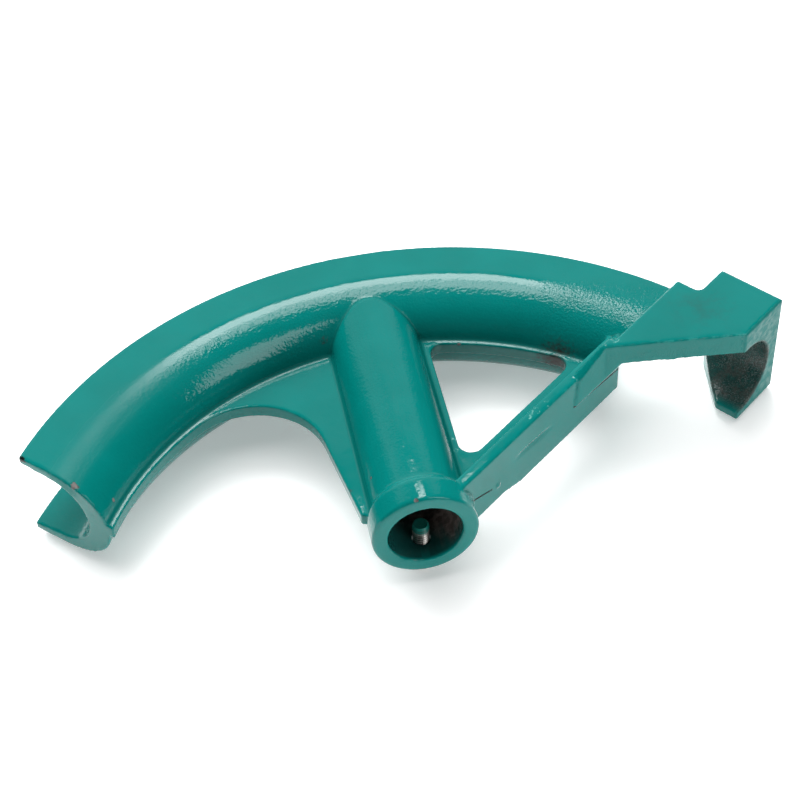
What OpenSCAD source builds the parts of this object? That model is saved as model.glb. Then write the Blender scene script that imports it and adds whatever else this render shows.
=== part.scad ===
// Head of a hand bender for steel conduit, lying on its side: one casting and its lock bolt.
// Millimetres. The origin is on the conduit's axis, at the crown of the bend.
// X runs along the conduit there, Y away from the bend's centre, Z across the groove.
// The modules draw about the bend's centre, level with the socket's axis, until at_crown moves them.

/* [Shoe] */
// Radius of the bend, to the conduit's axis
bend_r = 188; // [176:1:210]
// Radius of the groove that the conduit lies in
groove_r = 19.4; // [17:0.1:20]
// How far the lips reach past the conduit's axis
lip_reach = 15.6; // [10:0.1:20]
// Thickness of a lip at its edge
lip_t = 4.2; // [3:0.1:5]
// Thickness of the walls beside the groove
wall_t = 5.6; // [5.2:0.1:8]
// Thickness of the floor under the groove
floor_t = 11.8; // [9:0.1:15]
// Angle of the heel, where the lips end
heel_angle = 149; // [140:1:152]
// Angle by which the heel's end face leans from square
heel_skew = 13; // [0:1:18]
// Angle of the toe, where the groove ends beside the pedal
toe_angle = 48.2; // [47.5:0.1:52]
// Distance of the groove's middle plane below the socket's axis
shoe_drop = 1.8; // [0:0.1:3]

/* [Web] */
// Thickness of the web
web_t = 7; // [5:0.5:10]
// Width of the web's strip inside the shoe's back
rim_strip = 2.8; // [1.5:0.1:6]
// Radius of the bay's corner between the shoe and the strut
bay_r = 36; // [28:1:42]
// Distance from the socket's axis to the strut's edge, behind the collar
strut_foot = 26.2; // [25.5:0.1:32]
// Angle by which the strut's edge leans away from the socket
strut_lean = 9.7; // [4:0.1:14]
// Width of the web beside the socket, at the window
window_side = 3.6; // [2.5:0.1:8]
// Width of the web beside the pedal, at the window
window_foot = 10.5; // [6:0.5:16]
// Radius of the window's corners
window_corner = 6; // [3:0.5:9]

/* [Socket] */
// Distance from the bend's centre to the socket's mouth
mouth_y = 36; // [28:1:44]
// Radius of the socket's bore, for the handle
socket_r = 17; // [15:0.1:18]
// Depth of the socket
socket_depth = 108; // [80:1:116]
// Length of the wider lead at the mouth, where the lock bolt stands
lead_l = 22; // [21:1:30]
// How much wider the lead is, on the radius
lead_play = 0.4; // [0.2:0.1:1]
// Thickness of the tube around the bore
tube_t = 5; // [4:0.1:7]
// How far the collar stands out from the tube
collar_step = 2.8; // [1:0.1:4]
// Length of the collar
collar_l = 13; // [11:0.5:20]
// Length of the cone from the collar to the tube
collar_cone = 4; // [2:0.5:8]
// Bevel on the rim of the mouth
mouth_bevel = 1; // [0.5:0.1:2]

/* [Pedal] */
// Direction of the pedal, from the X axis
pedal_angle = 38.5; // [36:0.5:40]
// Distance of the pedal's tread from the bend's centre
pedal_face = 23.2; // [20:0.1:26]
// Thickness of the pedal
pedal_t = 6.1; // [5:0.1:9]
// Half of the pedal's width, above and below the middle plane
pedal_half = 17; // [12:0.5:17]
// How much narrower the pedal's lower edge is, next to the collar
pedal_notch = 3; // [1:0.5:5]
// Length of that narrower edge, from the collar
pedal_notch_l = 38; // [24:1:50]
// Distance from the pedal's end to the groove's floor
pedal_short = 4.2; // [2:0.1:8]

/* [Hook] */
// Radius of the hook's inside
hook_r = 20.5; // [18.5:0.1:24]
// Distance of the hook's axis outside the bend radius
hook_out = 6; // [3:0.5:9]
// Distance of the hook's axis below the middle plane
hook_drop = 3; // [0:0.5:4]
// Thickness of the hook's back
hook_back = 7.5; // [5:0.5:10]
// Thickness of the hook's lower jaw
jaw_t = 5; // [4:0.5:8]
// Length of the hook along the conduit
hook_l = 34.5; // [28:0.5:44]
// Width of the jaw's tip
jaw_tip = 12.6; // [8:0.1:20]
// Thickness of the arm
arm_t = 12.5; // [9:0.5:15]
// Distance of the arm's edge outside the pedal's tread
arm_edge = 5.2; // [3:0.1:8]
// Distance from that edge to the near side of the hook
arm_neck = 12.8; // [8:0.1:18]
// Distance of the arm's inner corner inside the bend radius
arm_root = 43.8; // [36:0.2:48]
// Radius in the corner between the arm and the hook
arm_fillet = 3; // [1:0.5:6]
// Length of the ramp from the pedal up to the arm
ramp_l = 17; // [12:1:24]
// How far the gusset under the arm stands out from the tread
gusset_step = 0.8; // [0.4:0.1:2]

/* [Lock bolt] */
// Thread diameter of the lock bolt
bolt_d = 8; // [6:0.5:10]
// Length of the lock bolt under its head
bolt_l = 20; // [18:0.5:24]
// Distance of the lock bolt from the mouth
bolt_back = 13.7; // [11:0.1:14]
// Width of the bolt's head across its flats
head_w = 13; // [12:0.5:17]
// Height of the bolt's head
head_h = 5.3; // [4:0.1:7]
// Gap left between the head and the collar
bolt_gap = 2.8; // [1:0.1:5]
// Play of the bolt in its hole, on the radius
bolt_play = 0.05; // [0.02:0.01:0.1]

/* [Hidden] */
$fn = 96;

// A little extra, so that cuts run past faces and joined solids share volume
over = 1;
// A size larger than the whole head, for half spaces
far = 600;

// Shoe
shoe_half = groove_r + wall_t;
lip_r = bend_r + lip_reach;
lip_half = shoe_half - lip_t;
floor_r = bend_r - groove_r;
back_r = floor_r - floor_t;
round_r = back_r + shoe_half;
flare = (lip_half - groove_r) / lip_reach;
heel_sweep = 20;

// Socket
tube_r = socket_r + tube_t;
collar_r = tube_r + collar_step;
collar_end = mouth_y + collar_l;

// Bay between the shoe and the strut: a corner circle that touches the rim and the strut's edge
rim_r = back_r - rim_strip;
strut_base = [-strut_foot, collar_end];
strut_dir = [-sin(strut_lean), cos(strut_lean)];
strut_out = [-cos(strut_lean), -sin(strut_lean)];
bay_start = strut_base + bay_r * strut_out;
bay_half = bay_start * strut_dir;
bay_run = sqrt(bay_half ^ 2 - bay_start * bay_start + (rim_r - bay_r) ^ 2) - bay_half;
bay_mid = bay_start + bay_run * strut_dir;
bay_strut = bay_mid - bay_r * strut_out;
bay_rim = bay_mid * rim_r / norm(bay_mid);

// Pedal, hook and arm, in the pedal's frame: X along the pedal, Y towards the web
pedal_end = floor_r - pedal_short;
pedal_start = mouth_y;
pedal_inner = pedal_face + pedal_t;
hook_x = bend_r + hook_out;
hook_end = hook_x + hook_r + hook_back;
arm_low = hook_r - hook_drop;
arm_top = arm_low + arm_t;
jaw_low = -hook_drop - hook_r - jaw_t;
edge_y = pedal_face - arm_edge;
hook_near = edge_y - arm_neck;
hook_far = hook_near - hook_l;
root_x = bend_r - arm_root;
lip_x = sqrt(lip_r ^ 2 - edge_y ^ 2);
front_x = root_x + edge_y - hook_far;
jaw_front = hook_x - hook_drop;
// The toe's upper wall runs on into the arm by this angle
toe_root = 5;
// The toe's lower wall stops short of the floor by this angle
toe_back = 2.4;

// Lock bolt
bolt_y = mouth_y + bolt_back;
head_top = -collar_r - bolt_gap;
bolt_bevel = 0.8;

// From the bend's centre to the crown, where the part's own frame is
module at_crown() {
    translate([0, -bend_r, shoe_drop])
        children();
}

module pedal_frame() {
    rotate([0, 0, pedal_angle])
        children();
}

// Turns a profile drawn along Z into one about the socket's axis
module along_socket() {
    rotate([-90, 0, 0])
        children();
}

module sector(from, to) {
    rotate([0, 0, from])
        rotate_extrude(angle = to - from)
            children();
}

// Cross-section of the groove: a round floor whose sides flare out to the lips
module groove_profile() {
    mouth_half = groove_r + flare * (lip_reach + over);
    translate([bend_r, 0])
        circle(groove_r);
    polygon([
        [bend_r, -groove_r], [lip_r + over, -mouth_half],
        [lip_r + over, mouth_half], [bend_r, groove_r]
    ]);
}

// Cross-section of the shoe: flat sides at the lips and a round back
module shoe_profile() {
    difference() {
        union() {
            intersection() {
                translate([round_r, 0])
                    circle(shoe_half);
                translate([0, -far / 2])
                    square([bend_r, far]);
            }
            translate([round_r, -shoe_half])
                square([lip_r - round_r, 2 * shoe_half]);
        }
        groove_profile();
    }
}

// The toe's upper wall runs on to the arm, past the end of the groove's floor
module shoe() {
    difference() {
        sector(toe_angle - toe_root, heel_angle + heel_sweep)
            shoe_profile();
        translate([0, 0, -far])
            linear_extrude(far + groove_r - over)
                before_toe(toe_angle);
        translate([0, 0, -far - web_t])
            linear_extrude(far)
                before_toe(toe_angle + toe_back);
        translate([0, 0, -far / 2])
            linear_extrude(far)
                beyond_heel();
    }
}

// Quarter plane in front of a toe that ends square at this angle
module before_toe(angle) {
    rotate(angle)
        translate([0, -far])
            square(far);
}

// Half plane behind the heel's leaning end
module beyond_heel() {
    rotate(heel_angle)
        translate([lip_r, 0])
            rotate(-heel_skew)
                translate([-far / 2, 0])
                    square(far);
}

// Everything on the web's side of the pedal
module pedal_side(inset) {
    rotate(pedal_angle)
        translate([-far / 2, inset])
            square(far);
}

// Open bay between the shoe and the strut, with its round corner
module bay_outline() {
    translate(bay_mid)
        circle(bay_r);
    intersection() {
        circle(rim_r);
        polygon([bay_mid, bay_strut, strut_base, [-strut_foot, -far], [-far, -far], 2 * bay_rim]);
    }
}

module window_outline() {
    offset(r = window_corner)
        offset(delta = -window_corner)
            intersection() {
                circle(rim_r);
                pedal_side(pedal_inner + window_foot);
                translate([tube_r + window_side, 0])
                    square(far);
            }
}

module web_outline() {
    difference() {
        intersection() {
            circle(back_r + over);
            pedal_side(pedal_inner - over);
            translate([-far / 2, collar_end + collar_cone / 2])
                square(far);
        }
        bay_outline();
        window_outline();
        beyond_heel();
    }
}

module web() {
    translate([0, 0, -web_t / 2])
        linear_extrude(web_t)
            web_outline();
}

// Tube with its collar, up to the shoe's round back
module socket_body() {
    difference() {
        along_socket()
            rotate_extrude()
                polygon([
                    [0, mouth_y], [collar_r - mouth_bevel, mouth_y],
                    [collar_r, mouth_y + mouth_bevel], [collar_r, collar_end],
                    [tube_r, collar_end + collar_cone], [tube_r, round_r], [0, round_r]
                ]);
        translate([0, 0, -shoe_drop])
            sector(75, 105)
                groove_profile();
    }
}

module socket_bore() {
    along_socket()
        translate([0, 0, mouth_y - over]) {
            cylinder(r = socket_r, h = socket_depth + over);
            cylinder(r = socket_r + lead_play, h = lead_l + over);
        }
}

module bolt_hole() {
    translate([0, bolt_y, -collar_r - over])
        cylinder(r = bolt_d / 2 + bolt_play, h = collar_r + over);
}

// Foot pedal: a plate on edge, with its lower edge drawn in next to the collar
module pedal() {
    notch_end = pedal_start + pedal_notch_l;
    translate([0, pedal_inner, 0])
        rotate([90, 0, 0])
            linear_extrude(pedal_t)
                polygon([
                    [pedal_start, -pedal_half + pedal_notch], [notch_end, -pedal_half + pedal_notch],
                    [notch_end + 4 * pedal_notch, -pedal_half], [pedal_end, -pedal_half],
                    [pedal_end, pedal_half], [pedal_start, pedal_half]
                ]);
}

// Arm seen from above: a plate whose free edge runs at 45 degrees to the hook
module arm_outline() {
    offset(r = -arm_fillet)
        offset(delta = arm_fillet)
            polygon([
                [root_x, edge_y], [lip_x, edge_y], [lip_x, hook_near], [hook_end, hook_near],
                [hook_end, hook_far], [front_x, hook_far]
            ]);
}

module arm() {
    translate([0, 0, arm_low])
        linear_extrude(arm_t)
            arm_outline();
}

// Ramp and gusset that carry the arm on the pedal: where three outlines meet, seen from
// above, from the tread's side and along the pedal
module arm_gusset() {
    step_y = pedal_face - gusset_step;
    ramp_x = root_x - ramp_l;
    foot_x = ramp_x + arm_edge / 2;
    under_y = edge_y - arm_edge;
    seat_y = pedal_face + pedal_t / 2;
    ridge_y = edge_y + arm_edge / 2;
    intersection() {
        linear_extrude(arm_top)
            polygon([
                [ramp_x, step_y], [root_x, edge_y], [root_x + arm_edge, under_y],
                [pedal_end, under_y], [pedal_end, seat_y], [ramp_x, seat_y]
            ]);
        translate([0, far / 2, 0])
            rotate([90, 0, 0])
                linear_extrude(far)
                    polygon([
                        [ramp_x, 0], [pedal_end, 0], [pedal_end, arm_low + over],
                        [root_x + arm_edge, arm_top], [root_x, arm_top], [foot_x, pedal_half]
                    ]);
        rotate([90, 0, 90])
            linear_extrude(far)
                polygon([
                    [step_y, 0], [under_y, arm_low], [under_y, arm_top],
                    [ridge_y, arm_top], [seat_y, pedal_half], [seat_y, 0]
                ]);
    }
}

// Jaw seen from above: its near corner is cut at 45 degrees, like the arm's free edge
module jaw_outline() {
    tip_y = hook_far + jaw_tip;
    polygon([
        [jaw_front, hook_far], [hook_end, hook_far], [hook_end, hook_near],
        [jaw_front + hook_near - tip_y, hook_near], [jaw_front, tip_y]
    ]);
}

// Hook seen along the conduit: a block with a round inside that opens towards the shoe
module hook_profile() {
    difference() {
        translate([jaw_front, jaw_low])
            square([hook_end - jaw_front, arm_low - jaw_low + over]);
        translate([hook_x, -hook_drop])
            circle(hook_r);
        translate([jaw_front - over, -hook_drop - hook_r])
            square([hook_x - jaw_front + over, 2 * hook_r]);
    }
}

module hook() {
    intersection() {
        translate([0, hook_near + over, 0])
            rotate([90, 0, 0])
                linear_extrude(hook_l + 2 * over)
                    hook_profile();
        translate([0, 0, jaw_low - over])
            linear_extrude(arm_top - jaw_low)
                jaw_outline();
    }
}

module casting() {
    difference() {
        union() {
            translate([0, 0, -shoe_drop])
                shoe();
            web();
            socket_body();
            pedal_frame() {
                pedal();
                arm();
                arm_gusset();
                hook();
            }
        }
        socket_bore();
        bolt_hole();
    }
}

module bender_head() {
    color([0.08, 0.49, 0.45])
        at_crown()
            casting();
}

module lock_bolt() {
    color([0.62, 0.63, 0.62])
        at_crown()
            translate([0, bolt_y, head_top]) {
                cylinder(r = bolt_d / 2, h = bolt_l - bolt_bevel);
                translate([0, 0, bolt_l - bolt_bevel])
                    cylinder(r1 = bolt_d / 2, r2 = bolt_d / 2 - bolt_bevel, h = bolt_bevel);
                translate([0, 0, -head_h])
                    cylinder(d = head_w / cos(30), h = head_h, $fn = 6);
            }
}

bender_head();
lock_bolt();
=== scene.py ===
"""Looks of a conduit bender head: an enamelled casting with a steel lock bolt, on a white table."""

import math

import bmesh
import bpy
import numpy as np
from mathutils import Matrix, Vector


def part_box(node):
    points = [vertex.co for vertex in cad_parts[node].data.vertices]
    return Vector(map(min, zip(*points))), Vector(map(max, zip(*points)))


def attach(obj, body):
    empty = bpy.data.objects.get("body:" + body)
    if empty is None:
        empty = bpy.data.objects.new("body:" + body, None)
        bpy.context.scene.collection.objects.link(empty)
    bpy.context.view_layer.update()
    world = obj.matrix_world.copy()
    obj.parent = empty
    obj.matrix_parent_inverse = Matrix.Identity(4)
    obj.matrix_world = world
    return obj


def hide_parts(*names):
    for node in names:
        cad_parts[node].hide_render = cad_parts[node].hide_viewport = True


MM = 0.001

# Main sizes of the part, in millimetres, as its drawing has them
BEND_R = 188.0
SHOE_DROP = 1.8
PEDAL_ANGLE = math.radians(38.5)
PEDAL_FACE = 23.2
SHOE_HALF = 25.0
ROUND_R = 181.8
BACK_R = ROUND_R - SHOE_HALF
MOUTH_Y = 36.0 - BEND_R
SOCKET_R = 17.0
BOLT_Y = MOUTH_Y + 13.7
BOLT_R = 4.0

# Where a surface counts as the socket's bore, and the lock bolt's hole with its clearance
BORE_END = -40.0
BORE_MARGIN = 1.0
HOLE_R = BOLT_R + 0.35
HOLE_TOP = -10.0

# Wider curve at the shoe's shoulder: its radius, where it starts from the bend's centre, and its reach
SHOULDER_R = 40.0
SHOULDER_START = 187.0
SHOULDER_RUN = 14.0

# How the casting is rounded, in millimetres and in smoothing steps
WELD = 0.002
VOXEL = 0.65
EDGE_STEPS = 4
FILLET_STEPS = 7
FILLET_MOST = 0.7
MOST_TRIANGLES = 190000

# Uneven surface of the casting: heights, and how far its bumps are apart
WAVE = 0.013
WAVE_LONG = 9.0
WAVE_SHORT = 4.5
SHORT_SHARE = 0.6
GRIT = 0.03
GRIT_SIZE = 1.7

# Coarse sand at the toe: where it begins in degrees from the crown, its border, which moves outwards
# with the turn, its inner end and its top
TOE_TURN = (23.0, 34.0)
TOE_BORDER = 181.0
TOE_BORDER_TURN = 26.0
TOE_BORDER_GROWTH = 1.05
TOE_INNER = (152.0, 156.0)
TOE_TOP = 26.0

# Hook's inside, in the pedal's frame: along the pedal, its height, and where it begins
HOOK_X = 194.0
HOOK_Z = -1.2
HOOK_R = 20.5
HOOK_FROM = (190.0, 198.0)

# Ground face at the hook's end
HOOK_FACE = -29.3
HOOK_FACE_FROM = 165.0

# Flash along the free edge of the arm's top, from the pedal to the hook
ARM_EDGE = ((101.6, -84.1), (168.1, -91.7))
ARM_TOP = 31.8
FLASH = 0.5
FLASH_SIZE = 4.5

# Long dent and nib on the pedal's tread: along the pedal, and across it
DENT = 0.7
DENT_X = 85.0
DENT_Z = 4.5
DENT_SLOPE = -0.06
DENT_WIDTH = 1.3
DENT_FROM = (80.0, 90.0)
DENT_TO = (102.0, 112.0)
NIB = 0.9
NIB_X = 68.4
NIB_Z = -1.6
NIB_SPREAD = 1.8

# How sharply the surface bends where paint wears off and a highlight is painted, and where dust stays and
# shade is painted
BEND_STEPS = 8
EDGE_BEND = (0.12, 0.5)
HOLLOW_BEND = (0.03, 0.16)

# Upward share of the normal on faces that count as level
LEVEL_FACE = (0.988, 0.9985)

# Scuffed shoulder towards the heel: degrees from the crown, distance from the bend's centre, and height
SCUFF_TURN = (26.0, 48.0)
SCUFF_INNER = (168.0, 174.0)
SCUFF_OUTER = (185.0, 189.0)
SCUFF_FOOT = 15.0

# Lock bolt, in millimetres: its thread, and its head from either end as steps inwards and radii
PITCH = 1.45
THREAD_DEPTH = 0.85
THREAD_PLAY = 0.05
THREAD_SEGMENTS = 48
ROWS_PER_TURN = 12
HEAD_HIGH = 5.3
HEAD_SEGMENTS = 96
FLAT_R = 6.5
HALF_SIDE = math.radians(30)
CORNER_R = FLAT_R / math.cos(HALF_SIDE) - 0.12
HEAD_TOP = ((0.0, 0.0), (0.0, 3.2), (0.0, 6.2), (0.12, 6.45), (0.75, 6.95), (1.1, 7.6))
HEAD_FOOT = ((1.1, 7.6), (0.75, 6.95), (0.12, 6.3), (0.0, 6.05), (0.0, 0.0))

# Marks on the paint: place and radius in millimetres. Chips show bare iron, stains and burnt are dark,
# the pale specks are painted glints, the smudge is dirt, and the rusty one only shows on steep faces
CHIPS = (
    ((-150.6, -104.2, 23.0), 3.2),
    ((-135.3, -105.1, 9.5), 1.3),
    ((-3.7, -151.3, 26.0), 1.5),
    ((40.5, -39.4, 5.0), 1.2),
    ((-19.0, -122.2, 12.9), 0.9),
)
STAINS = (
    ((-174.2, -84.6, 24.6), 4.5),
    ((-29.0, -121.2, 5.0), 2.2),
    ((-24.6, -28.6, 12.5), 3.5),
    ((84.5, -58.8, 3.0), 5.5),
)
GLINT_SPOTS = (
    ((62.2, -104.4, 18.8), 4.0),
    ((68.9, -100.8, 18.8), 3.0),
    ((58.6, -107.5, 18.8), 2.5),
    ((24.3, -100.7, 5.3), 2.5),
    ((23.7, -107.7, 5.3), 2.0),
    ((107.4, -81.5, 31.8), 3.0),
)
SMUDGE = ((150.0, -70.0, 31.8), 27.0)
BURNT = ((-173.4, -84.4, 24.6), 3.2)
RUSTY = ((84.5, -58.8, 3.0), 15.0)

# Cracks on the tread: start and end along the pedal, height at the start, and slope
CRACKS = ((126.5, 166.0, 2.0, -0.093), (45.0, 64.0, 5.6, -0.34))
CRACK_HALF = (0.36, 0.75)

# Colours as linear red, green and blue. A pair is mixed by noise
GREENS = ((0.0004, 0.134, 0.120), (0.0007, 0.148, 0.134))
IRON = ((0.04, 0.037, 0.035), (0.14, 0.128, 0.122))
DARK_CRUST = ((0.016, 0.036, 0.033), (0.044, 0.046, 0.042))
BORE_SCALE = ((0.062, 0.050, 0.046), (0.14, 0.117, 0.107))
STEEL = ((0.45, 0.43, 0.40), (0.70, 0.68, 0.65))
TABLE = ((0.91, 0.91, 0.91), (0.93, 0.93, 0.93))
BROWN = (0.028, 0.017, 0.014)
SOOT = (0.006, 0.008, 0.008)
CRACK_DARK = (0.002, 0.012, 0.011)
STEEL_GREEN = (0.002, 0.15, 0.125)
WHITE = (1.0, 1.0, 1.0, 1.0)

# Tints: a colour, and how much of what lies below it takes up
# Painted shade: a darker green for the hollows
SHADE_IN_HOLLOWS = ((0.0003, 0.08, 0.070), 0.7)
# Worn edges, paler also as a painted highlight
EDGE_WEAR_AND_HIGHLIGHT = ((0.03, 0.27, 0.24), 0.5)
# Painted glints: a pale green for small specks
PAINTED_GLINT = ((0.16, 0.40, 0.36), 0.7)
# Painted shade on the hook's ground end face
GROUND_FACE_SHADE = ((0.0004, 0.07, 0.063), 0.3)
SMUDGED = ((0.018, 0.07, 0.061), 0.4)
SAND = ((0.14, 0.165, 0.158), 0.65)
BORE_PAINT = ((0.008, 0.030, 0.029), 0.75)
# Painted shade in the thread's roots
THREAD_ROOT_SHADE = ((0.02, 0.016, 0.013), 0.85)

# Patches of noise: size in millimetres, detail, the values between which it rises, and the range it takes
GREEN_PATCHES = (38.0, 3.0, 0.35, 0.65)
# Specks of the painted glints
GLINT_PATCHES = (1.5, 2.0, 0.54, 0.62)
SMUDGE_PATCHES = (9.0, 3.0, 0.35, 0.65)
CRUST_PATCHES = (6.0, 3.0, 0.4, 0.6)
SAND_GRAINS = (0.6, 2.0, 0.50, 0.66)
SAND_PATCHES = (13.0, 2.0, 0.40, 0.58, 0.25, 1.0)
STAIN_PATCHES = (1.6, 3.0, 0.34, 0.6)
THIN_PATCHES = (1.2, 3.0, 0.30, 0.60, 0.80, 0.97)
GLOSS_PATCHES = (14.0, 3.0, 0.3, 0.7, 0.06, 0.10)
CRACK_PATCHES = (4.5, 2.0, 0.31, 0.41)
STEEL_PAINT_PATCHES = (1.2, 2.0, 0.2, 0.34)

# How much rougher the enamel is where it is not clean
BORE_DULL = 0.35
CHIP_DULL = 0.4
GROUND_DULL = (0.3, 0.55)
SCUFF_DULL = 0.22
HOLLOW_DULL = 0.45
STAIN_DULL = 0.08

# Enamel's specular level when clean, and what dust takes off it
SHINE = 0.28
DUST_OFF = 0.24
SCUFF_DUST = 0.75

# Fine relief of the enamel: size of its bumps, detail, and height, in millimetres
PEEL = (1.3, 1.0)
PEEL_HIGH = 0.09
PEEL_LOST = 0.8
SANDY = (1.1, 1.5)
SANDY_HIGH = 0.22
RIPPLE = (6.0, 1.0)
RIPPLE_HIGH = 0.05
CHIP_DEEP = -0.18

# Camera of the photograph: place in millimetres, lens on its sensor, and its axes
CAM_PLACE = Vector((-95.46, -688.87, 661.34))
CAM_RIGHT = Vector((0.97928, -0.19893, -0.03801))
CAM_DOWN = Vector((-0.16975, -0.70383, -0.68979))
CAM_AHEAD = Vector((0.11046, 0.68194, -0.72301))
CAM_LENS = 85.542
CAM_SENSOR = 36.0

# Plane that the head rests on, in metres: its slopes along X and Y, and its height at the origin
REST_SLOPE_X = 0.0012
REST_SLOPE_Y = 0.0414
REST_HEIGHT = -0.02565
TABLE_R = 6.0
TABLE_GLOW = 0.30

# Height of the soft key panels over the table, in metres, and the surround's even light
PANEL_Z = 1.10
SURROUND = 0.03

# Numbers that scramble the corners of the noise's lattice
HASH_AXES = np.array((374761393, 668265263, 2147483647))
HASH_SEED = 974711
HASH_MIX = 1274126177
HASH_MASK = 0xFFFF


def lattice_noise(points, size, seed):
    """Smooth noise from -1 to 1 at points in millimetres, with bumps about size apart."""
    q = points / size
    cell = np.floor(q).astype(np.int64)
    f = q - cell
    f = f * f * (3.0 - 2.0 * f)
    total = np.zeros(len(points))
    for corner in np.ndindex(2, 2, 2):
        h = (cell + np.array(corner)) @ HASH_AXES + seed * HASH_SEED
        h = (h ^ (h >> 13)) * HASH_MIX
        h = (h ^ (h >> 16)) & HASH_MASK
        weight = np.ones(len(points))
        for axis, far in enumerate(corner):
            weight = weight * (f[:, axis] if far else 1.0 - f[:, axis])
        total += weight * (h / (0.5 * HASH_MASK) - 1.0)
    return total


def along(points, start, end):
    """Each point's distance from a line seen from above, and how far along it is, from 0 to 1."""
    a = np.array(start)
    d = np.array(end) - a
    share = np.clip((points[:, :2] - a) @ d / (d @ d), 0.0, 1.0)
    gap = points[:, :2] - a - share[:, None] * d
    return np.hypot(gap[:, 0], gap[:, 1]), share


def step(low, high, value):
    """0 below low, 1 above high and smooth between them."""
    t = np.clip((value - low) / (high - low), 0.0, 1.0)
    return t * t * (3.0 - 2.0 * t)


def vertex_places(mesh):
    flat = np.zeros(len(mesh.vertices) * 3, np.float32)
    mesh.vertices.foreach_get("co", flat)
    return flat.reshape(-1, 3).astype(np.float64) / MM


def set_places(mesh, places):
    mesh.vertices.foreach_set("co", (places * MM).astype(np.float32).ravel())
    mesh.update()


def vertex_normals(mesh):
    flat = np.zeros(len(mesh.vertices) * 3, np.float32)
    mesh.vertex_normals.foreach_get("vector", flat)
    return flat.reshape(-1, 3).astype(np.float64)


class Smoother:
    """Moves each vertex of a mesh towards the mean of its neighbours."""

    def __init__(self, mesh):
        pairs = np.zeros(len(mesh.edges) * 2, np.int32)
        mesh.edges.foreach_get("vertices", pairs)
        pairs = pairs.reshape(-1, 2)
        self.near = np.concatenate((pairs[:, 0], pairs[:, 1]))
        self.other = np.concatenate((pairs[:, 1], pairs[:, 0]))
        self.count = len(mesh.vertices)
        self.degree = np.maximum(np.bincount(self.near, minlength=self.count), 1)

    def mean(self, values):
        if values.ndim == 1:
            return np.bincount(self.near, values[self.other], self.count) / self.degree
        return np.stack([self.mean(values[:, k]) for k in range(values.shape[1])], axis=1)

    def run(self, values, steps, rate=0.5):
        for _ in range(steps):
            values = values + rate * (self.mean(values) - values)
        return values


def add_attribute(mesh, name, values):
    layer = mesh.attributes.new(name, "FLOAT", "POINT")
    layer.data.foreach_set("value", np.clip(values, 0.0, 1.0).astype(np.float32))


def smooth_shaded(mesh):
    mesh.polygons.foreach_set("use_smooth", np.ones(len(mesh.polygons), bool))
    mesh.update()


def new_object(name, data):
    obj = bpy.data.objects.new(name, data)
    bpy.context.scene.collection.objects.link(obj)
    return obj


def baked_modifiers(obj):
    """A copy of obj's mesh with its modifiers applied."""
    deps = bpy.context.evaluated_depsgraph_get()
    return bpy.data.meshes.new_from_object(obj.evaluated_get(deps))


def remeshed(node, voxel):
    """The node's surface as even small quads, welded first so that it is closed."""
    mesh = node.data.copy()
    work = bmesh.new()
    work.from_mesh(mesh)
    bmesh.ops.remove_doubles(work, verts=work.verts, dist=WELD * MM)
    work.to_mesh(mesh)
    work.free()
    obj = new_object("casting_work", mesh)
    voxels = obj.modifiers.new("even", "REMESH")
    voxels.mode = "VOXEL"
    voxels.voxel_size = voxel * MM
    result = baked_modifiers(obj)
    bpy.data.objects.remove(obj)
    bpy.data.meshes.remove(mesh)
    return result


class Survey:
    """Where each vertex of the casting lies before it is moved, in millimetres and degrees."""

    def __init__(self, mesh):
        self.raw = vertex_places(mesh)
        self.normals = vertex_normals(mesh)
        self.x, self.y, self.z = self.raw.T

        # About the bend's centre, with the turn counted from the crown
        centred_y = self.y + BEND_R
        self.r = np.hypot(self.x, centred_y)
        self.turn = np.degrees(np.arctan2(self.x, centred_y))

        # In the pedal's frame: along the pedal, and out from its tread
        c = math.cos(PEDAL_ANGLE)
        s = math.sin(PEDAL_ANGLE)
        self.px = self.x * c + centred_y * s
        self.py = centred_y * c - self.x * s

        # In the socket
        self.depth = self.y - MOUTH_Y
        near_axis = np.hypot(self.x, self.z - SHOE_DROP) < SOCKET_R + BORE_MARGIN
        self.in_bore = near_axis & (self.y < BORE_END) & (self.y > MOUTH_Y - 2.0)


def rounded(at, smoother):
    """Edges rounded a little, and inside corners filled as a foundry's pattern would have them."""
    soft = smoother.run(at.raw, EDGE_STEPS)
    full = smoother.run(at.raw, FILLET_STEPS)
    fill = np.einsum("ij,ij->i", full - soft, at.normals)
    fill[at.in_bore] = 0.0
    fill = np.clip(fill, 0.0, FILLET_MOST)
    return smoother.run(soft + at.normals * fill[:, None], 1)


def clear_hole(places):
    """Keeps the lock bolt's hole round and clear of the thread."""
    from_bolt = np.hypot(places[:, 0], places[:, 1] - BOLT_Y)
    inside = (from_bolt < HOLE_R) & (places[:, 2] < HOLE_TOP)
    push = HOLE_R / np.maximum(from_bolt[inside], 0.1)
    places[inside, 0] *= push
    places[inside, 1] = BOLT_Y + (places[inside, 1] - BOLT_Y) * push


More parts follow.
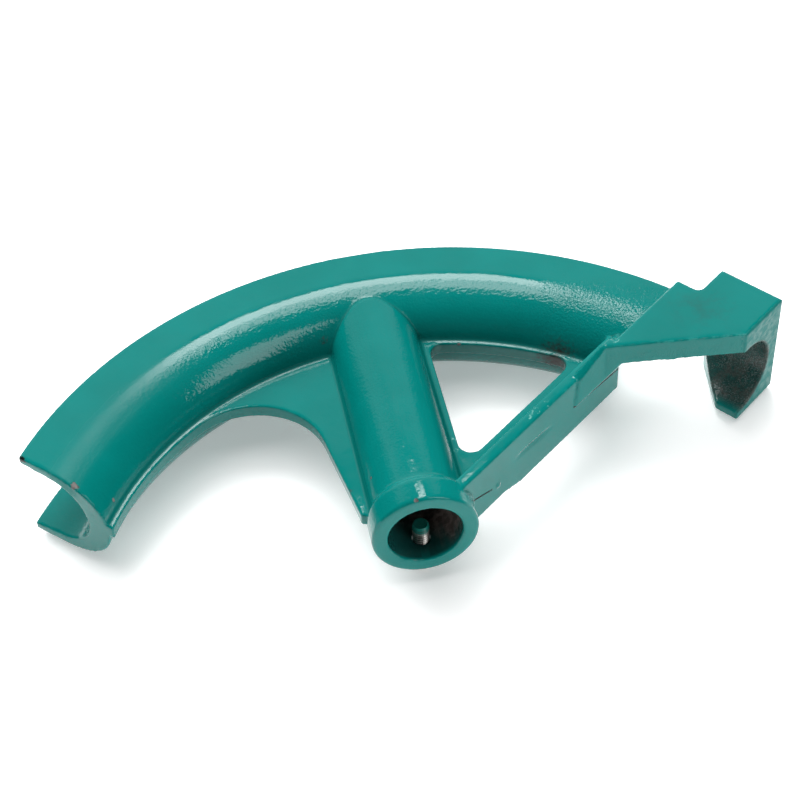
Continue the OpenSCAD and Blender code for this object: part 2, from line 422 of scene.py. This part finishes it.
def shoulder_drop(at):
    """How far the shoe's shoulder falls away, in a wider curve than its back."""
    flat_z = np.sqrt(SHOE_HALF**2 - np.clip(ROUND_R - at.r, 0.0, SHOE_HALF) ** 2)
    on_shoe = 1.0 - step(0.7, 1.5, np.abs(np.abs(at.z) - flat_z))
    end_r = SHOULDER_START - SHOULDER_RUN
    run = np.clip(SHOULDER_START - at.r, 0.0, SHOULDER_RUN)
    wide = SHOULDER_R - np.sqrt(SHOULDER_R**2 - run**2)
    most = SHOULDER_R - math.sqrt(SHOULDER_R**2 - SHOULDER_RUN**2)
    most -= SHOE_HALF - math.sqrt(SHOE_HALF**2 - (ROUND_R - end_r) ** 2)
    fading = most * np.clip((at.r - BACK_R) / (end_r - BACK_R), 0.0, 1.0)
    drop = np.where(at.r > end_r, wide - (SHOE_HALF - flat_z), fading)
    return np.sign(at.z) * on_shoe * drop


def hook_inside(at):
    """1 on the inside of the hook."""
    gap = np.hypot(at.px - HOOK_X, at.z - HOOK_Z)
    return (1.0 - step(HOOK_R + 0.3, HOOK_R + 1.5, gap)) * step(*HOOK_FROM, at.px)


def coarse_sand(at):
    """1 where the sand was rammed worst, at the shoe's toe and inside the hook."""
    border = TOE_BORDER + TOE_BORDER_GROWTH * (at.turn - TOE_BORDER_TURN)
    toe = step(*TOE_TURN, at.turn) * (1.0 - step(border - 2.0, border + 4.0, at.r))
    toe = toe * step(*TOE_INNER, at.r) * (at.z > 0.0) * (at.z < TOE_TOP)
    return np.maximum(toe, hook_inside(at))


def flash_line(at):
    """1 along the arm's free edge, where the halves of the mould met."""
    gap, share = along(at.raw, *ARM_EDGE)
    on_top = step(ARM_TOP - 1.0, ARM_TOP - 0.3, at.z)
    return (1.0 - step(0.2, 1.4, gap)) * on_top * step(0.15, 0.5, share)


def tread_marks(at):
    """Heights of the long dent and the nib of metal on the pedal's tread."""
    on_tread = 1.0 - step(1.0, 2.5, np.abs(at.py - PEDAL_FACE))
    dent_z = DENT_Z + DENT_SLOPE * (at.px - DENT_X)
    dent = np.exp(-(((at.z - dent_z) / DENT_WIDTH) ** 2))
    dent = dent * step(*DENT_FROM, at.px) * (1.0 - step(*DENT_TO, at.px))
    nib = np.exp(-((at.px - NIB_X) ** 2 + (at.z - NIB_Z) ** 2) / NIB_SPREAD)
    return on_tread * (NIB * nib - DENT * dent)


def surface_lift(at):
    """Heights along the normals: the casting's slow unevenness, its coarse sand, flash and marks."""
    wave = lattice_noise(at.raw, WAVE_LONG, seed=3)
    wave = wave + SHORT_SHARE * lattice_noise(at.raw, WAVE_SHORT, seed=7)
    lift = WAVE * wave + GRIT * coarse_sand(at) * lattice_noise(at.raw, GRIT_SIZE, seed=11)
    ragged = 0.45 + 0.65 * lattice_noise(at.raw, FLASH_SIZE, seed=17)
    lift += FLASH * flash_line(at) * np.clip(ragged, -0.3, 1.0)
    lift += tread_marks(at)
    return lift


def add_paint_attributes(mesh, at, smoother):
    """Where the enamel is worn, dusty, scuffed, thin or missing, and where shade and highlights are
    painted.
    """
    bend = np.einsum("ij,ij->i", smoother.run(at.raw, BEND_STEPS) - at.raw, at.normals)
    edge = step(*EDGE_BEND, smoother.run(-bend, 1))
    # Convex edges and the flash line: worn paint and a painted highlight in the colour
    add_attribute(mesh, "edge", np.maximum(edge, flash_line(at)))
    # Hollows: dust in the gloss, and painted shade in the colour
    add_attribute(mesh, "hollow", step(*HOLLOW_BEND, smoother.run(bend, 3)))
    add_attribute(mesh, "grit", coarse_sand(at))
    add_attribute(mesh, "level", smoother.run(step(*LEVEL_FACE, at.normals[:, 2]), 4))
    on_face = 1.0 - step(0.8, 1.6, np.abs(at.py - HOOK_FACE))
    add_attribute(mesh, "ground", on_face * (at.px > HOOK_FACE_FROM))
    shoulder = step(*SCUFF_INNER, at.r) * (1.0 - step(*SCUFF_OUTER, at.r)) * (at.z > SCUFF_FOOT)
    add_attribute(mesh, "scuffed", step(*SCUFF_TURN, -at.turn) * shoulder)
    add_attribute(mesh, "thin_paint", hook_inside(at))

    # Paint reaches furthest into the bore on its lower left
    side = np.clip((-0.6 * at.x - 0.8 * (at.z - SHOE_DROP)) / SOCKET_R, 0.0, 1.0)
    unpainted = step(2.0 + 14.0 * side, 8.0 + 28.0 * side, at.depth)
    add_attribute(mesh, "bore", at.in_bore * unpainted)
    add_attribute(mesh, "bore_paint", at.in_bore * step(0.8, 2.5, at.depth))


def thinned(mesh):
    """The casting with fewer triangles, shaded with its large flat faces first."""
    casting = new_object("casting", mesh)
    fewer = casting.modifiers.new("fewer", "DECIMATE")
    fewer.ratio = min(1.0, MOST_TRIANGLES / (2.0 * len(mesh.polygons)))
    casting.data = baked_modifiers(casting)
    casting.modifiers.clear()
    smooth_shaded(casting.data)
    casting.modifiers.new("flat_faces_first", "WEIGHTED_NORMAL")
    casting.data = baked_modifiers(casting)
    casting.modifiers.clear()
    return casting


def make_casting(node):
    mesh = remeshed(node, VOXEL)
    mesh.name = "casting"
    smoother = Smoother(mesh)
    at = Survey(mesh)
    places = rounded(at, smoother)
    clear_hole(places)
    places[:, 2] -= shoulder_drop(at)
    places += at.normals * surface_lift(at)[:, None]
    set_places(mesh, places)
    add_paint_attributes(mesh, at, smoother)
    return thinned(mesh)


def bolt_point(r, angle, z):
    """Place in metres at a radius and an angle about the lock bolt's axis."""
    return r * math.cos(angle) * MM, (BOLT_Y + r * math.sin(angle)) * MM, z * MM


def thread_r(z, share, tip):
    """Radius of the thread at a height and a share of a turn, bevelled at the tip."""
    phase = (z / PITCH - share) % 1.0
    tooth = abs(2.0 * phase - 1.0)
    cut = THREAD_DEPTH * min(max(1.25 * tooth - 0.12, 0.0), 1.0)
    bevel = BOLT_R - 0.7 + 0.8 * max(tip - z, 0.0)
    return min(BOLT_R - THREAD_PLAY - cut, bevel)


def add_thread(work, low, tip):
    """Screw thread as rings of a helix, closed at the tip."""
    rows = int((tip - low) / PITCH * ROWS_PER_TURN)
    rings = []
    for i in range(rows + 1):
        z = low + (tip - low) * i / rows
        ring = []
        for k in range(THREAD_SEGMENTS):
            r = thread_r(z, k / THREAD_SEGMENTS, tip)
            ring.append(work.verts.new(bolt_point(r, 2 * math.pi * k / THREAD_SEGMENTS, z)))
        rings.append(ring)
    for lower, upper in zip(rings, rings[1:]):
        for k in range(THREAD_SEGMENTS):
            n = (k + 1) % THREAD_SEGMENTS
            work.faces.new((lower[k], lower[n], upper[n], upper[k]))
    cap = work.verts.new((0, BOLT_Y * MM, (tip - 0.15) * MM))
    for k in range(THREAD_SEGMENTS):
        work.faces.new((rings[-1][k], rings[-1][(k + 1) % THREAD_SEGMENTS], cap))


def add_head(work, low, high):
    """Hexagon head as rings, pulled in at both ends."""
    profile = [(high - inward, r) for inward, r in HEAD_TOP]
    profile += [(low + inward, r) for inward, r in HEAD_FOOT]
    rings = []
    for z, r in profile:
        ring = []
        for k in range(HEAD_SEGMENTS):
            angle = 2 * math.pi * k / HEAD_SEGMENTS
            to_flat = (angle + HALF_SIDE) % (2 * HALF_SIDE) - HALF_SIDE
            hexagon = min(FLAT_R / math.cos(to_flat), CORNER_R)
            ring.append(work.verts.new(bolt_point(min(r, hexagon), angle, z)))
        rings.append(ring)
    for upper, lower in zip(rings, rings[1:]):
        for k in range(HEAD_SEGMENTS):
            n = (k + 1) % HEAD_SEGMENTS
            work.faces.new((upper[k], lower[k], lower[n], upper[n]))


def make_bolt():
    """Lock bolt: a hexagon head with bevelled corners and a screw thread that is cut as a helix."""
    low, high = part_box("lock_bolt")
    head_low = low.z / MM
    head_high = head_low + HEAD_HIGH
    tip = high.z / MM
    work = bmesh.new()
    add_thread(work, head_high, tip)
    add_head(work, head_low, head_high)
    bmesh.ops.remove_doubles(work, verts=work.verts, dist=0.001 * MM)
    bmesh.ops.recalc_face_normals(work, faces=work.faces)
    mesh = bpy.data.meshes.new("lock_bolt_screw")
    work.to_mesh(mesh)
    work.free()

    # Paint on the tip, and painted shade at the root of the thread
    x, y, z = vertex_places(mesh).T
    add_attribute(mesh, "painted", step(tip - 4.6, tip - 3.2, z))
    on_thread = (z > head_high) & (z < tip - 1.3)
    add_attribute(mesh, "root", step(0.15, 0.7, BOLT_R - np.hypot(x, y - BOLT_Y)) * on_thread)
    smooth_shaded(mesh)
    mesh.set_sharp_from_angle(angle=math.radians(35))
    return new_object("lock_bolt_screw", mesh)


class Nodes:
    """Short calls for building a material's nodes."""

    def __init__(self, name):
        self.material = bpy.data.materials.new(name)
        self.material.use_nodes = True
        self.tree = self.material.node_tree
        self.tree.nodes.clear()
        self.out = self.tree.nodes.new("ShaderNodeOutputMaterial")
        self.place = self.tree.nodes.new("ShaderNodeTexCoord").outputs["Object"]

    def link(self, source, socket):
        self.tree.links.new(source, socket)

    def put(self, socket, value):
        if isinstance(value, bpy.types.NodeSocket):
            self.link(value, socket)
        else:
            socket.default_value = value

    def noise(self, size_mm, detail):
        node = self.tree.nodes.new("ShaderNodeTexNoise")
        self.link(self.place, node.inputs["Vector"])
        node.inputs["Scale"].default_value = 1.0 / MM / size_mm
        node.inputs["Detail"].default_value = detail
        node.inputs["Roughness"].default_value = 0.5
        node.inputs["Distortion"].default_value = 0.0
        return node.outputs["Fac"]

    def attribute(self, name):
        node = self.tree.nodes.new("ShaderNodeAttribute")
        node.attribute_name = name
        return node.outputs["Fac"]

    def math(self, kind, a, b=0.0, clamp=False):
        node = self.tree.nodes.new("ShaderNodeMath")
        node.operation = kind
        node.use_clamp = clamp
        self.put(node.inputs[0], a)
        self.put(node.inputs[1], b)
        return node.outputs[0]

    def times(self, a, b):
        return self.math("MULTIPLY", a, b)

    def most(self, *values):
        total = values[0]
        for value in values[1:]:
            total = self.math("MAXIMUM", total, value)
        return total

    def remap(self, value, low, high, new_low=0.0, new_high=1.0):
        node = self.tree.nodes.new("ShaderNodeMapRange")
        node.interpolation_type = "SMOOTHSTEP"
        self.put(node.inputs["Value"], value)
        node.inputs["From Min"].default_value = low
        node.inputs["From Max"].default_value = high
        node.inputs["To Min"].default_value = new_low
        node.inputs["To Max"].default_value = new_high
        return node.outputs["Result"]

    def patches(self, size_mm, detail, *ranges):
        """Noise that rises between two values."""
        return self.remap(self.noise(size_mm, detail), *ranges)

    def mix(self, share, a, b):
        node = self.tree.nodes.new("ShaderNodeMix")
        node.data_type = "RGBA"
        self.put(node.inputs["Factor"], share)
        for socket, value in ((node.inputs[6], a), (node.inputs[7], b)):
            self.put(socket, (*value, 1.0) if isinstance(value, tuple) else value)
        return node.outputs[2]

    def tint(self, base, where, colour, cover):
        """The base colour, partly covered by another one."""
        return self.mix(self.times(where, cover), base, colour)

    def spot(self, place, radius, fade):
        """1 within a ragged spot and 0 outside it."""
        node = self.tree.nodes.new("ShaderNodeVectorMath")
        node.operation = "DISTANCE"
        self.link(self.place, node.inputs[0])
        node.inputs[1].default_value = [c * MM for c in place]
        share = self.math("DIVIDE", node.outputs["Value"], radius * MM)
        ragged = self.times(self.noise(1.8, 3.0), 1.1)
        return self.remap(self.math("ADD", share, ragged), 1.35 - fade, 1.35, 1.0, 0.0)

    def spots(self, spots, fade):
        return self.most(*[self.spot(place, radius, fade) for place, radius in spots])

    def cracks(self):
        """Hairline cracks along the parting line, at both ends of the pedal's tread."""
        turn = self.tree.nodes.new("ShaderNodeVectorRotate")
        turn.rotation_type = "Z_AXIS"
        turn.inputs["Center"].default_value = (0.0, -BEND_R * MM, 0.0)
        turn.inputs["Angle"].default_value = -PEDAL_ANGLE
        self.link(self.place, turn.inputs["Vector"])
        apart = self.tree.nodes.new("ShaderNodeSeparateXYZ")
        self.link(turn.outputs[0], apart.inputs[0])
        x, y, z = apart.outputs
        lines = []
        for low, high, start_z, slope in CRACKS:
            line = self.math("MULTIPLY_ADD", x, slope)
            line.node.inputs[2].default_value = (start_z - slope * low) * MM
            gap = self.math("ABSOLUTE", self.math("SUBTRACT", z, line))
            thin = self.remap(gap, CRACK_HALF[0] * MM, CRACK_HALF[1] * MM, 1.0, 0.0)
            after = self.math("GREATER_THAN", x, low * MM)
            before = self.math("LESS_THAN", x, high * MM)
            lines.append(self.times(thin, self.times(after, before)))
        front = self.math("LESS_THAN", y, (PEDAL_FACE + 1.5 - BEND_R) * MM)
        return self.times(self.times(self.most(*lines), self.patches(*CRACK_PATCHES)), front)

    def bump(self, height, distance_mm, under=None):
        node = self.tree.nodes.new("ShaderNodeBump")
        node.inputs["Strength"].default_value = 1.0
        node.inputs["Distance"].default_value = distance_mm * MM
        self.link(height, node.inputs["Height"])
        if under is not None:
            self.link(under, node.inputs["Normal"])
        return node.outputs["Normal"]

    def surface(self, **sockets):
        shader = self.tree.nodes.new("ShaderNodeBsdfPrincipled")
        for name, value in sockets.items():
            self.put(shader.inputs[name.replace("_", " ")], value)
        self.link(shader.outputs[0], self.out.inputs["Surface"])
        return self.material


def enamel_green(n, fine):
    """Paint alone, with painted shade in the hollows and on the hook's ground face, worn edges paler with
    a painted highlight, pale specks as painted glints, and dirt on the arm.
    """
    green = n.mix(n.patches(*GREEN_PATCHES), *GREENS)
    # Painted shade: the hollows darkened
    green = n.tint(green, n.attribute("hollow"), *SHADE_IN_HOLLOWS)
    # Worn paint on the edges and the flash line, paler also as a painted highlight
    worn_and_lit_edge = n.times(n.attribute("edge"), n.remap(fine, 0.48, 0.66))
    green = n.tint(green, worn_and_lit_edge, *EDGE_WEAR_AND_HIGHLIGHT)
    # Painted glints: pale specks
    glint = n.times(n.spots(GLINT_SPOTS, fade=0.6), n.patches(*GLINT_PATCHES))
    green = n.tint(green, glint, *PAINTED_GLINT)
    # Painted shade: the hook's ground end face darkened
    green = n.tint(green, n.attribute("ground"), *GROUND_FACE_SHADE)
    smudge = n.times(n.spot(*SMUDGE, fade=0.9), n.patches(*SMUDGE_PATCHES))
    return n.tint(green, smudge, *SMUDGED)


def enamel_colour(n, fine, chip, stain, bore, crack):
    """Paint with the crust inside the hook, the bore's scale, rust, bare iron and cracks over it."""
    crust = n.mix(n.patches(*CRUST_PATCHES), *DARK_CRUST)
    crust = n.tint(crust, n.times(n.patches(*SAND_GRAINS), n.patches(*SAND_PATCHES)), *SAND)
    thin = n.times(n.attribute("thin_paint"), n.patches(*THIN_PATCHES))
    colour = n.mix(n.most(thin, n.times(stain, 0.85)), enamel_green(n, fine), crust)
    colour = n.tint(colour, n.attribute("bore_paint"), *BORE_PAINT)
    colour = n.mix(bore, colour, n.mix(n.remap(fine, 0.4, 0.62), *BORE_SCALE))
    upright = n.math("SUBTRACT", 0.9, n.attribute("level"), clamp=True)
    colour = n.mix(n.times(n.spot(*RUSTY, fade=0.7), upright), colour, BROWN)
    colour = n.mix(n.spot(*BURNT, fade=0.4), colour, SOOT)
    colour = n.mix(chip, colour, n.mix(n.remap(fine, 0.4, 0.6), *IRON))
    return n.mix(crack, colour, CRACK_DARK)


def enamel_roughness(n, fine, chip, stain, bore):
    """Gloss of clean paint, less where the surface is bare, ground, scuffed, dusty or stained."""
    dull = n.most(
        n.times(bore, BORE_DULL),
        n.times(chip, CHIP_DULL),
        n.times(n.attribute("ground"), n.remap(fine, 0.35, 0.65, *GROUND_DULL)),
        n.times(n.attribute("scuffed"), SCUFF_DULL),
        n.times(n.attribute("hollow"), HOLLOW_DULL),
        n.times(stain, STAIN_DULL),
    )
    return n.math("ADD", n.patches(*GLOSS_PATCHES), dull, clamp=True)


def enamel_relief(n, chip):
    """Orange peel off the level faces, coarse sand, slow ripples and the depth of the chips."""
    peel = n.math("SUBTRACT", 1.0, n.times(n.attribute("level"), PEEL_LOST))
    normal = n.bump(n.times(n.noise(*PEEL), peel), PEEL_HIGH)
    normal = n.bump(n.times(n.noise(*SANDY), n.attribute("grit")), SANDY_HIGH, under=normal)
    normal = n.bump(n.noise(*RIPPLE), RIPPLE_HIGH, under=normal)
    return n.bump(chip, CHIP_DEEP, under=normal)


def enamel_material():
    n = Nodes("enamel")
    fine = n.noise(3.2, 3.0)
    chip = n.spots(CHIPS, fade=0.25)
    stain = n.times(n.spots(STAINS, fade=0.7), n.patches(*STAIN_PATCHES))
    bore = n.attribute("bore")
    crack = n.cracks()
    dusty = n.most(n.attribute("hollow"), n.times(n.attribute("scuffed"), SCUFF_DUST), crack)
    return n.surface(
        Base_Color=enamel_colour(n, fine, chip, stain, bore, crack),
        Roughness=enamel_roughness(n, fine, chip, stain, bore),
        Normal=enamel_relief(n, chip),
        Specular_IOR_Level=n.math("SUBTRACT", SHINE, n.times(dusty, DUST_OFF)),
    )


def steel_material():
    n = Nodes("steel")
    grain = n.noise(0.8, 3.0)
    metal = n.mix(n.remap(grain, 0.35, 0.65), *STEEL)
    flakes = n.patches(*STEEL_PAINT_PATCHES)
    painted = n.math("MULTIPLY", n.attribute("painted"), flakes, clamp=True)
    colour = n.mix(painted, metal, STEEL_GREEN)
    return n.surface(
        # Painted shade in the thread's roots
        Base_Color=n.tint(colour, n.attribute("root"), *THREAD_ROOT_SHADE),
        Metallic=n.math("SUBTRACT", 1.0, painted, clamp=True),
        Roughness=n.remap(grain, 0.3, 0.7, 0.28, 0.46),
        Normal=n.bump(grain, 0.04),
    )


def floor_material():
    n = Nodes("table")
    return n.surface(
        Base_Color=n.mix(n.noise(900.0, 2.0), *TABLE),
        Roughness=0.65,
        Specular_IOR_Level=0.2,
        Emission_Color=WHITE,
        Emission_Strength=TABLE_GLOW,
    )


def make_floor():
    mesh = bpy.data.meshes.new("table")
    work = bmesh.new()
    bmesh.ops.create_circle(work, cap_ends=True, cap_tris=True, segments=96, radius=TABLE_R)
    for v in work.verts:
        v.co.z = REST_SLOPE_X * v.co.x + REST_SLOPE_Y * v.co.y + REST_HEIGHT
    work.to_mesh(mesh)
    work.free()
    floor = new_object("table", mesh)
    floor.data.materials.append(floor_material())


def make_camera():
    camera = new_object("camera", bpy.data.cameras.new("camera"))
    camera.data.sensor_fit = "HORIZONTAL"
    camera.data.sensor_width = CAM_SENSOR
    camera.data.lens = CAM_LENS
    camera.data.clip_start = 0.01
    camera.data.clip_end = 50.0
    axes = Matrix((CAM_RIGHT, -CAM_DOWN, -CAM_AHEAD)).transposed().to_4x4()
    camera.matrix_world = Matrix.Translation(CAM_PLACE * MM) @ axes
    bpy.context.scene.camera = camera


def make_light(name, place, aim, size, power, mirrored=True, soft=True):
    """Area light in metres and watts, which can be left out of reflections or show in them only."""
    data = bpy.data.lights.new(name, "AREA")
    data.shape = "RECTANGLE"
    data.size, data.size_y = size
    data.energy = power
    light = new_object(name, data)
    light.visible_glossy = mirrored
    light.visible_diffuse = soft
    facing = (Vector(aim) - Vector(place)).to_track_quat("-Z", "Y")
    light.matrix_world = Matrix.Translation(place) @ facing.to_matrix().to_4x4()
    return light


def make_panel(name, middle, size, turn, glow):
    """Soft key panel level over the table, turned by some degrees as seen from above."""
    power = glow * math.pi * size[0] * size[1]
    light = make_light(name, (*middle, PANEL_Z), (*middle, 0.0), size, power)
    spin = Matrix.Rotation(math.radians(turn), 4, "Z")
    light.matrix_world = Matrix.Translation((*middle, PANEL_Z)) @ spin


def make_fill(name, place, aim, size, power):
    """Soft light that doesn't show in the enamel's reflections."""
    make_light(name, place, aim, size, power, mirrored=False)


def make_world():
    world = bpy.data.worlds.new("studio")
    world.use_nodes = True
    back = world.node_tree.nodes["Background"]
    back.inputs["Color"].default_value = WHITE
    back.inputs["Strength"].default_value = SURROUND
    bpy.context.scene.world = world


def make_lights():
    """Two key panels for the highlights, a pale wall behind, a front panel for the gloss, and fills."""
    head = (0.0, -0.05, 0.0)
    make_panel("key_near", (0.059, 0.348), (0.25, 0.27), turn=15.0, glow=8.7)
    make_panel("key_far", (0.125, 0.64), (0.25, 0.26), turn=8.0, glow=14.5)
    make_light("sweep", (0.0, 1.20, 0.72), (0.0, 0.0, 0.72), (2.30, 1.45), power=6.36)
    make_light("front", (0.64, -0.70, 0.92), head, (0.46, 0.90), power=5.9, soft=False)
    make_fill("fill_back", (-0.35, 1.5, 1.6), (0.0, 0.0, 0.0), (2.6, 1.8), power=62.0)
    make_fill("fill_top", (-0.3, 1.0, 2.1), (-0.3, 1.0, 0.0), (4.0, 3.4), power=88.0)
    make_fill("fill_right", (1.1, -1.35, 0.15), head, (1.6, 0.4), power=19.0)
    make_fill("fill_left", (-0.9, -1.4, 0.30), head, (1.6, 0.6), power=6.0)


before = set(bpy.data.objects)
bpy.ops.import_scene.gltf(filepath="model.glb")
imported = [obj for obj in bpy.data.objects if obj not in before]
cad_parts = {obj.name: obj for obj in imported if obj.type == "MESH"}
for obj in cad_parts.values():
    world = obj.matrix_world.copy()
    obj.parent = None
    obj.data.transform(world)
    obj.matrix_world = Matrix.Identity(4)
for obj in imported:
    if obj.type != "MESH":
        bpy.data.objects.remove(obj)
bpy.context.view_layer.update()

casting = make_casting(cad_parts["bender_head"])
casting.data.materials.clear()
casting.data.materials.append(enamel_material())
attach(casting, "head")
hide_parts("bender_head")

bolt = make_bolt()
bolt.data.materials.append(steel_material())
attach(bolt, "bolt")
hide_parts("lock_bolt")

make_floor()
make_camera()
make_world()
make_lights()

scene = bpy.context.scene
scene.view_settings.view_transform = "Standard"
scene.view_settings.look = "None"
